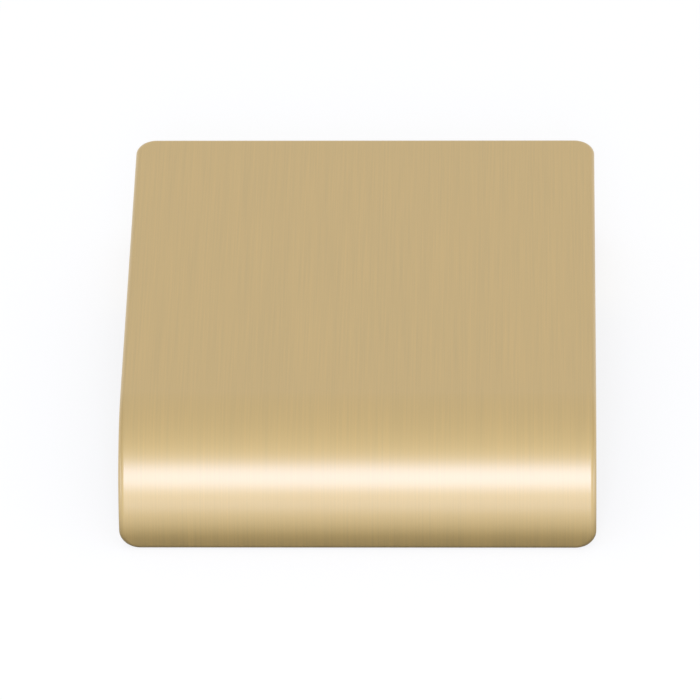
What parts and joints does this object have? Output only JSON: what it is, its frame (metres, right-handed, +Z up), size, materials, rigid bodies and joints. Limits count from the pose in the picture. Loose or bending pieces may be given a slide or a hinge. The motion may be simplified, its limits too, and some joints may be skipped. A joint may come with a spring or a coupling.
{
  "type": "cabinet knob",
  "caption": "Satin brass tab knob: a flat plate rolled over at the front into a finger lip, on a foot with a tapped hole in its back face",
  "frame": {"origin": "centre of the screw hole's mouth, on the back face that seats on the drawer front", "axes": "+Y into the drawer, so that the knob projects along -Y; +Z up; +X to the right of someone facing the drawer"},
  "size_m": [0.032, 0.035, 0.008],
  "materials": {
    "satin_brass": "satin, fine brush lines from back to front"
  },
  "bodies": {
    "root": {"knob_body": "satin_brass"}
  },
  "joints": []
}
